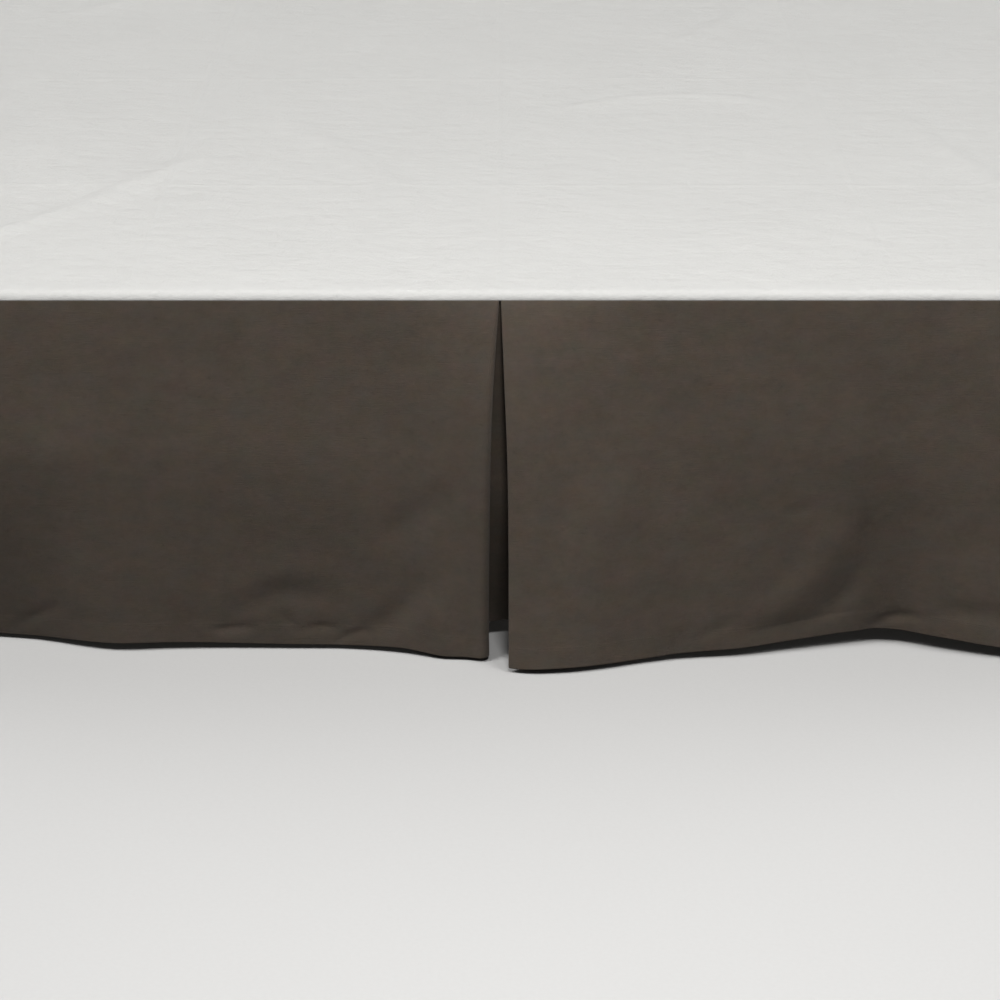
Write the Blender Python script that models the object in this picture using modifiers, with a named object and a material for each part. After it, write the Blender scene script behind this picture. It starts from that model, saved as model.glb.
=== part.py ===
"""Queen-size bed skirt with a pleat in the middle of each drop, on a plain box spring and steel frame.

Metres, +Z up. The origin is on the floor under the middle of the bed. The foot of the bed faces -Y and
the head +Y. Each drop is worked out in its own directions and then turned to its side of the bed:
"along" runs from left to right as seen from outside, with 0 in the middle of the pleat, "out" is the
distance in front of the base's face, and "down" goes from 0 at the top seam to 1 at the hem.
"""

import math
from collections import namedtuple

import bmesh
import bpy
import numpy as np

# The base that the skirt is fitted to
BASE_WIDTH = 1.524
BASE_LENGTH = 2.032
BASE_TOP = 0.381
BOX_HEIGHT = 0.203
BOX_EDGE = 0.008
GAP = 0.0003

# The steel frame under the box spring
RAIL_WIDTH = 0.040
RAIL_HEIGHT = 0.025
RAIL_EDGE = 0.002
SIDE_RAIL_X = {"left": -0.68, "right": 0.68}
SIDE_RAIL_LENGTH = 1.80
CROSS_RAIL_Y = {"foot": -0.78, "middle": 0.0, "head": 0.78}
LEG_X = {"left": -0.68, "centre": 0.0, "right": 0.68}
LEG_RADIUS = 0.016
GLIDE_RADIUS = 0.020
GLIDE_HEIGHT = 0.010
GLIDE_BEVEL = 0.003
ROUND_STEPS = 20

# The deck, the cloth that lies on the box spring and turns down over its edges
DECK_THICKNESS = 0.0015
DECK_EDGE = 0.008
DECK_LIP_BOTTOM = 0.3740

# The drops' layers at the top seam, from the base outwards: underlay, returns of the pleat, front
DROP_TOP = DECK_LIP_BOTTOM - 2 * GAP
DROP_THICKNESS = 0.0012
PRESSED_FOLD = 0.0015
UNDERLAY_OUT = 0.0030
RETURN_OUT = UNDERLAY_OUT + 2 * PRESSED_FOLD
FRONT_OUT = RETURN_OUT + 2 * PRESSED_FOLD
FOOT_DROP_END = 0.7695
SIDE_DROP_FOOT_END = 1.0232
SIDE_DROP_HEAD_END = 1.0160

# The pleat
PLEAT_DEPTH = 0.088
MOUTH_AT_SEAM = 0.0009
MOUTH_POWER = 2.8
INNER_FOLD_HEM_RADIUS = 0.0035
UNDERLAY_BEND = 0.045
FOLD_STEPS = 4
RETURN_STEPS = 2
UNDERLAY_STEPS = 8
CURL_REACH = 0.045
ROLL_POWER = 4.0
BULGE = 0.0085  # how far the panels stand out beside the pleat, a third of the way down
BULGE_REACH = 0.075
BULGE_PEAK = 4 / 27  # of down * (1 - down) ** 2

# How a swing of the hem is reached from the straight top seam
OUT_POWER = 0.75
IN_EASE = 0.28  # of the way down to the hem, over which an inward swing starts
FRONT_FREE_BELOW = 0.40
INSIDE_FREE_BELOW = 0.55
SWING_BLEND = 0.015
SEAM_REACH = 0.12
FOLD_SAMPLES = 9

# The grids of cloth
PLEAT_SPACING = 0.35  # of an even spacing, between the columns next to the pleat
ROW_POWER = 1.3
MM = 0.001
HEADING_PASSES = 3

# A row for each turn of a hem: how high it is above the floor, and how far out
Hem = namedtuple("Hem", "along lift out")
# A row for each soft fold. Its line runs through three points, each along and down. A trough has depth < 0.
Fold = namedtuple("Fold", "start middle end width depth")
# A pleat at the hem: how far its front folds stand apart, how round they are, how far the left one curls
# in, and where the inner folds and the underlay hang
Pleat = namedtuple(
    "Pleat", "left_open right_open left_roll right_roll left_curl inner_left underlay inner_right"
)
# A drop from end to end, with the number of columns in each panel and of rows in its grid
Drop = namedtuple("Drop", "start end hem folds pleat panel_columns rows")

FOOT_HEM = [
    Hem(-0.770, 0.0050, 0.018),
    Hem(-0.690, 0.0050, -0.001),
    Hem(-0.620, 0.0056, -0.026),
    Hem(-0.540, 0.0058, -0.046),
    Hem(-0.478, 0.0058, -0.039),
    Hem(-0.384, 0.0096, -0.007),
    Hem(-0.330, 0.0092, -0.011),
    Hem(-0.220, 0.0062, -0.0135),
    Hem(-0.140, 0.0057, -0.0105),
    Hem(-0.096, 0.0070, 0.000),
    Hem(-0.055, 0.0042, 0.017),
    Hem(-0.030, 0.0040, 0.025),
    Hem(-0.012, 0.0042, 0.034),
    Hem(0.012, 0.0052, 0.0475),
    Hem(0.062, 0.0066, 0.0505),
    Hem(0.100, 0.0066, 0.041),
    Hem(0.140, 0.0065, 0.026),
    Hem(0.180, 0.0082, 0.0155),
    Hem(0.243, 0.0108, 0.008),
    Hem(0.300, 0.0145, -0.0065),
    Hem(0.350, 0.0174, -0.0185),
    Hem(0.388, 0.0182, -0.0255),
    Hem(0.440, 0.0176, -0.005),
    Hem(0.498, 0.0143, 0.014),
    Hem(0.560, 0.0100, 0.022),
    Hem(0.660, 0.0062, 0.005),
    Hem(0.770, 0.0050, 0.018),
]
FOOT_FOLDS = [
    Fold((0.386, 0.33), (0.373, 0.47), (0.356, 0.66), 0.018, -0.0013),
    Fold((0.360, 0.62), (0.357, 0.81), (0.318, 0.94), 0.014, -0.0052),
    Fold((0.335, 0.925), (0.300, 0.950), (0.240, 0.962), 0.011, -0.0012),
    Fold((0.326, 0.66), (0.314, 0.80), (0.264, 0.915), 0.018, 0.0034),
    Fold((0.446, 0.915), (0.474, 0.912), (0.506, 0.908), 0.012, -0.0022),
    Fold((0.070, 0.28), (0.070, 0.48), (0.060, 0.70), 0.020, -0.0022),
    Fold((0.140, 0.30), (0.130, 0.48), (0.110, 0.66), 0.022, 0.0026),
    Fold((-0.276, 0.965), (-0.238, 0.855), (-0.172, 0.855), 0.014, -0.0020),
    Fold((-0.262, 0.880), (-0.220, 0.785), (-0.160, 0.790), 0.016, 0.0010),
    Fold((-0.050, 0.52), (-0.080, 0.60), (-0.120, 0.68), 0.016, -0.0022),
    Fold((-0.075, 0.78), (-0.100, 0.89), (-0.140, 0.96), 0.014, -0.0030),
    Fold((-0.070, 0.83), (-0.062, 0.92), (-0.058, 1.00), 0.014, 0.0020),
    Fold((-0.280, 0.58), (-0.266, 0.69), (-0.272, 0.80), 0.022, -0.0022),
    Fold((-0.440, 0.17), (-0.428, 0.28), (-0.436, 0.38), 0.018, -0.0022),
    Fold((-0.600, 0.54), (-0.590, 0.74), (-0.530, 0.92), 0.028, -0.0045),
    Fold((0.610, 0.48), (0.610, 0.68), (0.660, 0.90), 0.028, -0.0040),
]
FOOT_PLEAT = Pleat(
    left_open=0.0112,
    right_open=0.0092,
    left_roll=0.0078,
    right_roll=0.0018,
    left_curl=0.0105,
    inner_left=Hem(-0.081, 0.0100, -0.026),
    underlay=Hem(0.012, 0.0190, -0.049),
    inner_right=Hem(0.081, 0.0100, -0.014),
)

LEFT_HEM = [
    Hem(-1.016, 0.0040, 0.012),
    Hem(-0.860, 0.0045, -0.004),
    Hem(-0.700, 0.0055, -0.026),
    Hem(-0.540, 0.0060, -0.016),
    Hem(-0.390, 0.0050, 0.006),
    Hem(-0.230, 0.0048, -0.012),
    Hem(-0.110, 0.0040, 0.006),
    Hem(-0.012, 0.0030, 0.018),
    Hem(0.012, 0.0030, 0.030),
    Hem(0.110, 0.0040, 0.022),
    Hem(0.240, 0.0052, -0.004),
    Hem(0.400, 0.0070, -0.028),
    Hem(0.560, 0.0062, -0.008),
    Hem(0.720, 0.0050, 0.014),
    Hem(0.880, 0.0050, -0.004),
    Hem(1.024, 0.0040, 0.018),
]
LEFT_FOLDS = [
    Fold((-0.74, 0.46), (-0.72, 0.70), (-0.64, 0.92), 0.030, -0.0045),
    Fold((-0.31, 0.42), (-0.29, 0.66), (-0.24, 0.90), 0.026, -0.0032),
    Fold((-0.14, 0.34), (-0.13, 0.52), (-0.12, 0.72), 0.024, 0.0024),
    Fold((0.34, 0.46), (0.38, 0.70), (0.46, 0.92), 0.030, -0.0050),
    Fold((0.52, 0.52), (0.53, 0.70), (0.58, 0.88), 0.024, 0.0026),
    Fold((0.84, 0.45), (0.87, 0.72), (0.88, 0.94), 0.028, -0.0036),
]
LEFT_PLEAT = Pleat(
    left_open=0.0085,
    right_open=0.0095,
    left_roll=0.0040,
    right_roll=0.0025,
    left_curl=0.0020,
    inner_left=Hem(-0.083, 0.0070, -0.020),
    underlay=Hem(-0.006, 0.0110, -0.034),
    inner_right=Hem(0.083, 0.0070, -0.014),
)

RIGHT_HEM = [
    Hem(-1.024, 0.0040, 0.018),
    Hem(-0.890, 0.0045, 0.000),
    Hem(-0.740, 0.0058, -0.022),
    Hem(-0.580, 0.0062, -0.030),
    Hem(-0.430, 0.0050, -0.006),
    Hem(-0.290, 0.0045, 0.010),
    Hem(-0.130, 0.0040, 0.002),
    Hem(-0.012, 0.0030, 0.014),
    Hem(0.012, 0.0030, 0.034),
    Hem(0.080, 0.0038, 0.034),
    Hem(0.200, 0.0050, 0.006),
    Hem(0.350, 0.0062, -0.020),
    Hem(0.500, 0.0062, -0.024),
    Hem(0.660, 0.0048, 0.004),
    Hem(0.830, 0.0052, -0.010),
    Hem(1.016, 0.0040, 0.012),
]
RIGHT_FOLDS = [
    Fold((-0.66, 0.47), (-0.64, 0.68), (-0.56, 0.92), 0.030, -0.0050),
    Fold((-0.50, 0.50), (-0.49, 0.68), (-0.45, 0.86), 0.024, 0.0026),
    Fold((-0.20, 0.62), (-0.19, 0.78), (-0.15, 0.92), 0.022, -0.0030),
    Fold((0.15, 0.32), (0.14, 0.50), (0.12, 0.70), 0.024, 0.0024),
    Fold((0.38, 0.48), (0.41, 0.72), (0.49, 0.92), 0.030, -0.0048),
    Fold((0.80, 0.44), (0.83, 0.70), (0.84, 0.92), 0.028, -0.0036),
]
RIGHT_PLEAT = Pleat(
    left_open=0.0100,
    right_open=0.0080,
    left_roll=0.0045,
    right_roll=0.0020,
    left_curl=0.0030,
    inner_left=Hem(-0.083, 0.0070, -0.020),
    underlay=Hem(0.008, 0.0115, -0.036),
    inner_right=Hem(0.083, 0.0070, -0.014),
)

COLOURS = {
    "skirt_cloth": dict(base=(0.072, 0.057, 0.043), roughness=0.9, metallic=0.0),
    "deck_cloth": dict(base=(0.58, 0.575, 0.555), roughness=0.9, metallic=0.0),
    "ticking": dict(base=(0.66, 0.63, 0.57), roughness=0.85, metallic=0.0),
    "frame_paint": dict(base=(0.040, 0.039, 0.040), roughness=0.45, metallic=0.3),
    "glide_plastic": dict(base=(0.03, 0.03, 0.03), roughness=0.5, metallic=0.0),
}


# Scene helpers

def clear_scene():
    for obj in list(bpy.data.objects):
        bpy.data.objects.remove(obj, do_unlink=True)


def new_collection(name):
    collection = bpy.data.collections.new(name)
    bpy.context.scene.collection.children.link(collection)
    return collection


def principled(name, base, roughness, metallic):
    material = bpy.data.materials.new(name)
    material.use_nodes = True
    material.diffuse_color = (*base, 1.0)
    shader = material.node_tree.nodes["Principled BSDF"]
    shader.inputs["Base Color"].default_value = (*base, 1.0)
    shader.inputs["Roughness"].default_value = roughness
    shader.inputs["Metallic"].default_value = metallic
    return material


def add_empty(name, collection, parent=None):
    empty = bpy.data.objects.new(name, None)
    empty.parent = parent
    collection.objects.link(empty)
    return empty


def add_mesh(name, mesh, collection, parent, finish, location=(0, 0, 0), turn=0.0):
    obj = bpy.data.objects.new(name, mesh)
    obj.location = location
    obj.rotation_euler[2] = turn
    obj.parent = parent
    if not mesh.materials:
        mesh.materials.append(finish)
    collection.objects.link(obj)
    return obj


def mesh_from(name, shape):
    mesh = bpy.data.meshes.new(name)
    shape.to_mesh(mesh)
    shape.free()
    return mesh


def solidify(obj, thickness, offset):
    shell = obj.modifiers.new("Thickness", "SOLIDIFY")
    shell.thickness = thickness
    shell.offset = offset
    shell.use_even_offset = True


# The base

def block_mesh(name, size, edge, steps):
    shape = bmesh.new()
    bmesh.ops.create_cube(shape, size=1.0)
    bmesh.ops.scale(shape, verts=shape.verts, vec=size)
    bmesh.ops.bevel(shape, geom=shape.edges[:], offset=edge, segments=steps, profile=0.5, affect="EDGES")
    return mesh_from(name, shape)


def leg_mesh(height):
    shape = bmesh.new()
    bmesh.ops.create_cone(
        shape,
        cap_ends=True,
        segments=ROUND_STEPS,
        radius1=LEG_RADIUS,
        radius2=LEG_RADIUS,
        depth=height,
    )
    mesh = mesh_from("leg", shape)
    mesh.shade_smooth()
    mesh.set_sharp_from_angle(angle=math.radians(40))
    return mesh


def glide_mesh():
    """The half profile of a floor glide, from its top down to its foot."""
    shape = bmesh.new()
    profile = [
        (0.0, GLIDE_HEIGHT),
        (GLIDE_RADIUS - GLIDE_BEVEL, GLIDE_HEIGHT),
        (GLIDE_RADIUS, GLIDE_HEIGHT - GLIDE_BEVEL),
        (GLIDE_RADIUS, GLIDE_BEVEL),
        (GLIDE_RADIUS - GLIDE_BEVEL, 0.0),
        (0.0, 0.0),
    ]
    corners = [shape.verts.new((radius, 0.0, height)) for radius, height in profile]
    for upper, lower in zip(corners, corners[1:]):
        shape.edges.new((upper, lower))
    return mesh_from("glide", shape)


def turn_on_axis(obj):
    screw = obj.modifiers.new("Turn", "SCREW")
    screw.axis = "Z"
    screw.steps = ROUND_STEPS
    screw.render_steps = ROUND_STEPS
    screw.use_merge_vertices = True
    screw.merge_threshold = 0.0001


def build_base(collection, finishes):
    base = add_empty("bed_base", collection)
    box_bottom = BASE_TOP - BOX_HEIGHT
    box = block_mesh("box_spring", (BASE_WIDTH, BASE_LENGTH, BOX_HEIGHT), BOX_EDGE, steps=3)
    middle = (0, 0, box_bottom + BOX_HEIGHT / 2)
    add_mesh("box_spring", box, collection, base, finishes["ticking"], middle)

    rail_bottom = box_bottom - GAP - RAIL_HEIGHT
    rail_z = rail_bottom + RAIL_HEIGHT / 2
    side_rail = block_mesh("side_rail", (RAIL_WIDTH, SIDE_RAIL_LENGTH, RAIL_HEIGHT), RAIL_EDGE, steps=1)
    for side, x in SIDE_RAIL_X.items():
        place = (x, 0, rail_z)
        add_mesh(f"side_rail_{side}", side_rail, collection, base, finishes["frame_paint"], place)
    span = SIDE_RAIL_X["right"] - SIDE_RAIL_X["left"] - RAIL_WIDTH - 2 * GAP
    cross_rail = block_mesh("cross_rail", (span, RAIL_WIDTH, RAIL_HEIGHT), RAIL_EDGE, steps=1)
    for end, y in CROSS_RAIL_Y.items():
        place = (0, y, rail_z)
        add_mesh(f"cross_rail_{end}", cross_rail, collection, base, finishes["frame_paint"], place)

    leg_bottom = GLIDE_HEIGHT + GAP
    leg_height = rail_bottom - GAP - leg_bottom
    leg = leg_mesh(leg_height)
    glide = glide_mesh()
    for end, y in CROSS_RAIL_Y.items():
        for side, x in LEG_X.items():
            place = (x, y, leg_bottom + leg_height / 2)
            add_mesh(f"leg_{end}_{side}", leg, collection, base, finishes["frame_paint"], place)
            foot = add_mesh(
                f"glide_{end}_{side}", glide, collection, base, finishes["glide_plastic"], (x, y, 0)
            )
            turn_on_axis(foot)


# The deck

def build_deck(collection, parent, finish):
    """A box open below and at the head, with its upper edges and foot corners rounded."""
    outside = FRONT_OUT + DROP_THICKNESS / 2
    top = BASE_TOP + GAP + DECK_THICKNESS
    width = BASE_WIDTH + 2 * outside
    length = BASE_LENGTH + outside
    height = top - DECK_LIP_BOTTOM
    shape = bmesh.new()
    bmesh.ops.create_cube(shape, size=1.0)
    bmesh.ops.scale(shape, verts=shape.verts, vec=(width, length, height))
    open_sides = [face for face in shape.faces if face.normal.z < -0.5 or face.normal.y > 0.5]
    bmesh.ops.delete(shape, geom=open_sides, context="FACES")
    folded = [edge for edge in shape.edges if len(edge.link_faces) == 2]
    bmesh.ops.bevel(shape, geom=folded, offset=DECK_EDGE, segments=4, profile=0.5, affect="EDGES")
    place = (0, -outside / 2, DECK_LIP_BOTTOM + height / 2)
    deck = add_mesh("skirt_deck", mesh_from("skirt_deck", shape), collection, parent, finish, place)
    solidify(deck, DECK_THICKNESS, offset=-1.0)


# The shape of a drop

def smooth_through(stations, values, at):
    """A smooth curve through the values at the stations."""
    stations = np.array(stations)
    values = np.array(values)
    slopes = np.gradient(values, stations)
    i = np.clip(np.searchsorted(stations, at) - 1, 0, len(stations) - 2)
    step = stations[i + 1] - stations[i]
    t = np.clip((at - stations[i]) / step, 0.0, 1.0)
    rise = values[i] + (values[i + 1] - values[i]) * t * t * (3 - 2 * t)
    return rise + step * t * (1 - t) * (slopes[i] * (1 - t) - slopes[i + 1] * t)


def smooth_step(x):
    x = np.clip(x, 0.0, 1.0)
    return x * x * (3 - 2 * x)


def hem_at(hem, column, along):
    stations = [row.along for row in hem]
    return smooth_through(stations, [getattr(row, column) for row in hem], along)


def free_share(down, free_below):
    """How much of an inward swing is reached at this height, from 0 beside the base to 1 at the hem."""
    t = np.clip((down - free_below) / (1 - free_below), 0.0, 1.0)
    return t * t * (1 + IN_EASE) / (t + IN_EASE)


def fold_relief(folds, along, down):
    """How far the soft folds move the cloth out at these places. Each fold fades away at its ends."""
    relief = np.zeros_like(along)
    t = np.linspace(0.0, 1.0, FOLD_SAMPLES)[:, None]
    fading = 1 - (2 * t[:, 0] - 1) ** 4
    for fold in folds:
        start, middle, end = (np.array(point) for point in (fold.start, fold.middle, fold.end))
        line = (1 - t) * (1 - 2 * t) * start + 4 * t * (1 - t) * middle + t * (2 * t - 1) * end
        sideways = along[:, None] - line[:, 0]
        drop = (down - line[:, 1]) * DROP_TOP
        apart = (sideways**2 + drop**2) / fold.width**2
        relief += fold.depth * (fading * np.exp(-apart)).max(axis=1)
    return relief * smooth_step(down / SEAM_REACH)


def front_out(drop, along, down):
    """How far out the front of the drop stands, at places along it and one height."""
    along = np.asarray(along, dtype=float)
    swing = hem_at(drop.hem, "out", along) - FRONT_OUT
    swing_out = SWING_BLEND * np.logaddexp(0.0, swing / SWING_BLEND)
    swing_in = swing_out - swing
    front = FRONT_OUT + swing_out * down**OUT_POWER - swing_in * free_share(down, FRONT_FREE_BELOW)
    bulge = BULGE / BULGE_PEAK * down * (1 - down) ** 2 * np.exp(-((along / BULGE_REACH) ** 2))
    return front + bulge + fold_relief(drop.folds, along, down)


# The pleat, as one path round five rounds: left front fold, left inner fold, underlay, right inner fold,
# right front fold. A round's turn is 1 where the path bends towards "out", and -1 where it bends back.

Round = namedtuple("Round", "along out radius turn")


def between(at_seam, at_hem, share):
    return at_seam + (at_hem - at_seam) * share


def mouth(open_at_hem, down):
    return between(MOUTH_AT_SEAM, open_at_hem, 1 - (1 - down) ** MOUTH_POWER)


def panel_out(drop, side, along, edge, down):
    """How far out a panel stands. The left one curls in towards its edge at the pleat."""
    out = front_out(drop, along, down)
    if side == "left":
        out -= drop.pleat.left_curl * down * np.exp(-(((edge - along) / CURL_REACH) ** 2))
    return out


def front_fold(drop, side, down):
    """The round at which a panel turns into the pleat, where the panel meets it, at what heading, and
    the edge that shows."""
    sign = -1 if side == "left" else 1
    opening = getattr(drop.pleat, f"{side}_open")
    radius = between(PRESSED_FOLD, getattr(drop.pleat, f"{side}_roll"), 1 - (1 - down) ** ROLL_POWER)
    edge = sign * mouth(opening, down)
    heading = 0.0
    for _ in range(HEADING_PASSES):
        along = edge + radius * (sign - math.sin(heading))
        places = np.array([along, along + sign * MM])
        out = panel_out(drop, side, places, edge, down)
        heading = math.atan((out[1] - out[0]) / (places[1] - places[0]))
    centre = (along + radius * math.sin(heading), out[0] - radius * math.cos(heading))
    return Round(*centre, radius, turn=-1), along, heading, edge


def inner_fold(at_hem, side, down):
    share = free_share(down, INSIDE_FREE_BELOW)
    radius = between(PRESSED_FOLD, INNER_FOLD_HEM_RADIUS, share)
    reach = -PLEAT_DEPTH if side == "left" else PLEAT_DEPTH
    along = between(reach, at_hem.along, share) + (radius if side == "left" else -radius)
    out = between(UNDERLAY_OUT + PRESSED_FOLD, at_hem.out, share)
    return Round(along, out, radius, turn=1)


def underlay_round(at_hem, down):
    lowest = between(UNDERLAY_OUT, at_hem.out, free_share(down, INSIDE_FREE_BELOW))
    return Round(at_hem.along, lowest + UNDERLAY_BEND, UNDERLAY_BEND, turn=1)


def heading_between(first, second):
    """The heading of the straight run that leaves one round and meets the next."""
    along = second.along - first.along
    out = second.out - first.out
    sideways = second.turn * second.radius - first.turn * first.radius
    return math.atan2(out, along) - math.asin(sideways / math.hypot(along, out))


def round_points(bend, start, end, steps):
    """Points on a round from one heading of the path to another."""
    headings = np.linspace(start, end, steps + 1)
    along = bend.along + bend.turn * bend.radius * np.sin(headings)
    out = bend.out - bend.turn * bend.radius * np.cos(headings)
    return np.column_stack([along, out])


def turned(bend, start, end):
    """The end heading, counted on from the start in the round's direction."""
    return start + bend.turn * ((bend.turn * (end - start)) % (2 * math.pi))


def spaced_path(points, steps):
    """The same path with evenly spaced points."""
    lengths = np.r_[0.0, np.cumsum(np.hypot(*np.diff(points, axis=0).T))]
    at = np.linspace(0.0, lengths[-1], steps + 1)
    return np.column_stack([np.interp(at, lengths, points[:, k]) for k in (0, 1)])


def panel_shares(columns):
    """From 0 at a drop's end to 1 at its pleat, closer together towards the pleat."""
    t = np.linspace(0.0, 1.0, columns + 1)
    return t + (1 - PLEAT_SPACING) * t * (1 - t)


def drop_section(drop, down):
    """The drop's cloth at one height, from left to right, as runs of points that share their ends."""
    pleat = drop.pleat
    left_fold, left_along, left_heading, left_edge = front_fold(drop, "left", down)
    right_fold, right_along, right_heading, right_edge = front_fold(drop, "right", down)
    left_inner = inner_fold(pleat.inner_left, "left", down)
    right_inner = inner_fold(pleat.inner_right, "right", down)
    underlay = underlay_round(pleat.underlay, down)

    shares = panel_shares(drop.panel_columns)
    left = between(drop.start, left_along, shares)
    left_panel = np.column_stack([left, panel_out(drop, "left", left, left_edge, down)])
    right = between(drop.end, right_along, shares)[::-1]
    right_panel = np.column_stack([right, panel_out(drop, "right", right, right_edge, down)])

    rounds = [left_fold, left_inner, underlay, right_inner, right_fold]
    runs = [heading_between(*pair) for pair in zip(rounds, rounds[1:])]
    into_left_return = turned(left_fold, left_heading, runs[0])
    into_underlay = turned(left_inner, into_left_return, runs[1])
    past_underlay = into_underlay + max(0.0, math.remainder(runs[2] - into_underlay, 2 * math.pi))
    into_right_return = turned(right_inner, past_underlay, runs[3])
    into_right_panel = turned(right_fold, into_right_return, right_heading)

    left_turn = round_points(left_fold, left_heading, into_left_return, FOLD_STEPS)
    left_back = round_points(left_inner, into_left_return, into_underlay, FOLD_STEPS)
    hollow = round_points(underlay, into_underlay, past_underlay, UNDERLAY_STEPS)
    right_back = round_points(right_inner, past_underlay, into_right_return, FOLD_STEPS)
    right_turn = round_points(right_fold, into_right_return, into_right_panel, FOLD_STEPS)
    behind = spaced_path(np.vstack([left_back[-1:], hollow, right_back[:1]]), UNDERLAY_STEPS)
    return [
        left_panel,
        left_turn,
        spaced_path(np.vstack([left_turn[-1:], left_back[:1]]), RETURN_STEPS),
        left_back,
        behind,
        right_back,
        spaced_path(np.vstack([right_back[-1:], right_turn[:1]]), RETURN_STEPS),
        right_turn,
        right_panel,
    ]


def joined(runs):
    return np.vstack([run[:-1] for run in runs[:-1]] + [runs[-1]])


def hem_lifts(drop):
    """How high the hem is above the floor at each column of the section."""
    runs = drop_section(drop, 1.0)
    inside = joined(runs[1:-1])
    lengths = np.r_[0.0, np.cumsum(np.hypot(*np.diff(inside, axis=0).T))]
    left_lift = float(hem_at(drop.hem, "lift", runs[0][-1, 0]))
    right_lift = float(hem_at(drop.hem, "lift", runs[-1][0, 0]))
    turns = len(runs[1]) - 1 + RETURN_STEPS + FOLD_STEPS // 2
    middle = (len(inside) - 1) // 2
    knots = lengths[[0, turns, middle, len(inside) - 1 - turns, len(inside) - 1]]
    pleat = drop.pleat
    lifts = [left_lift, pleat.inner_left.lift, pleat.underlay.lift, pleat.inner_right.lift, right_lift]
    inside_lifts = np.interp(lengths, knots, lifts)
    left_lifts = hem_at(drop.hem, "lift", runs[0][:-1, 0])
    right_lifts = hem_at(drop.hem, "lift", runs[-1][1:, 0])
    return np.r_[left_lifts, inside_lifts, right_lifts]


def row_heights(rows):
    """From 0 at the top seam to 1 at the hem, closer together towards the hem."""
    return 1 - (1 - np.linspace(0.0, 1.0, rows + 1)) ** ROW_POWER


def drop_mesh(name, drop):
    """A grid with its rows from the hem up to the seam, moved onto the drop's shape."""
    lifts = hem_lifts(drop)
    columns = len(lifts) - 1
    shape = bmesh.new()
    bmesh.ops.create_grid(shape, x_segments=columns, y_segments=drop.rows, size=1.0)
    shape.verts.ensure_lookup_table()
    for row, down in enumerate(row_heights(drop.rows)[::-1]):
        section = joined(drop_section(drop, down))
        for column, ((along, out), lift) in enumerate(zip(section, lifts)):
            height = between(DROP_TOP, lift, down)
            shape.verts[row * (columns + 1) + column].co = (along, -out, height)
    mesh = mesh_from(name, shape)
    mesh.shade_smooth()
    return mesh


def build_drop(name, drop, location, turn, collection, parent, finish):
    obj = add_mesh(name, drop_mesh(name, drop), collection, parent, finish, location, turn)
    obj.modifiers.new("Triangles", "TRIANGULATE")
    solidify(obj, DROP_THICKNESS, offset=0.0)


def build_skirt(collection, finishes):
    skirt = add_empty("bed_skirt", collection)
    cloth = finishes["skirt_cloth"]
    build_deck(collection, skirt, finishes["deck_cloth"])
    foot = Drop(-FOOT_DROP_END, FOOT_DROP_END, FOOT_HEM, FOOT_FOLDS, FOOT_PLEAT, panel_columns=36, rows=10)
    left = Drop(
        -SIDE_DROP_HEAD_END, SIDE_DROP_FOOT_END, LEFT_HEM, LEFT_FOLDS, LEFT_PLEAT, panel_columns=24, rows=7
    )
    right = Drop(
        -SIDE_DROP_FOOT_END, SIDE_DROP_HEAD_END, RIGHT_HEM, RIGHT_FOLDS, RIGHT_PLEAT, panel_columns=24, rows=7
    )
    foot_face = (0, -BASE_LENGTH / 2, 0)
    left_face = (-BASE_WIDTH / 2, 0, 0)
    right_face = (BASE_WIDTH / 2, 0, 0)
    quarter = math.pi / 2
    build_drop("skirt_foot_drop", foot, foot_face, 0.0, collection, skirt, cloth)
    build_drop("skirt_left_drop", left, left_face, -quarter, collection, skirt, cloth)
    build_drop("skirt_right_drop", right, right_face, quarter, collection, skirt, cloth)


def main():
    clear_scene()
    parts = new_collection("bed_skirt")
    finishes = {name: principled(name, **values) for name, values in COLOURS.items()}
    build_base(parts, finishes)
    build_skirt(parts, finishes)


main()
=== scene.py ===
"""The looks of a queen-size bed skirt on its box spring and steel frame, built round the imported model.

Metres, +Z up. Each drop is worked out in its own directions, then turned to its side of the bed:
"along" runs from left to right as seen from outside, with 0 in the middle of the pleat, "out" is the
distance in front of the base's face, and "down" goes from 0 at the top seam to 1 at the hem. "flat" is a
place on the cloth before it was sewn: across it from the pleat's middle, and up from the hem.
"""

import math
from collections import namedtuple

import bmesh
import bpy
import numpy as np
from mathutils import Matrix, Vector, noise


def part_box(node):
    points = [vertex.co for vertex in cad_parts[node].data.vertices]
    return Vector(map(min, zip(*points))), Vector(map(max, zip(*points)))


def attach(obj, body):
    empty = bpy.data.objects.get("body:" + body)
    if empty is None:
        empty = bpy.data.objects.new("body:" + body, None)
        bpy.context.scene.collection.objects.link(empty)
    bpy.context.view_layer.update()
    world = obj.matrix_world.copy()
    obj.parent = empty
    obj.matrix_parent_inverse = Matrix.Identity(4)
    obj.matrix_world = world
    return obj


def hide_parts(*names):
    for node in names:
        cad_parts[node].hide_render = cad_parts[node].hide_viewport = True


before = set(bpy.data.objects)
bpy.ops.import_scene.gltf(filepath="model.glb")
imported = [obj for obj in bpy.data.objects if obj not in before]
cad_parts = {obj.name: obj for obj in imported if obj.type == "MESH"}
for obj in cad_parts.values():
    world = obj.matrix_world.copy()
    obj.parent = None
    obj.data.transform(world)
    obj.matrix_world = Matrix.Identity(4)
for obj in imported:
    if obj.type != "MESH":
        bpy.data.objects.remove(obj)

MM = 0.001
TINY = 1e-9
QUARTER = math.pi / 2

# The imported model
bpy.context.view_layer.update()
BASE_LOW, BASE_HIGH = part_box("box_spring")
DECK_LOW, DECK_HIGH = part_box("skirt_deck")
FOOT_LOW, FOOT_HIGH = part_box("skirt_foot_drop")
LEFT_LOW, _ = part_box("skirt_left_drop")

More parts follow.
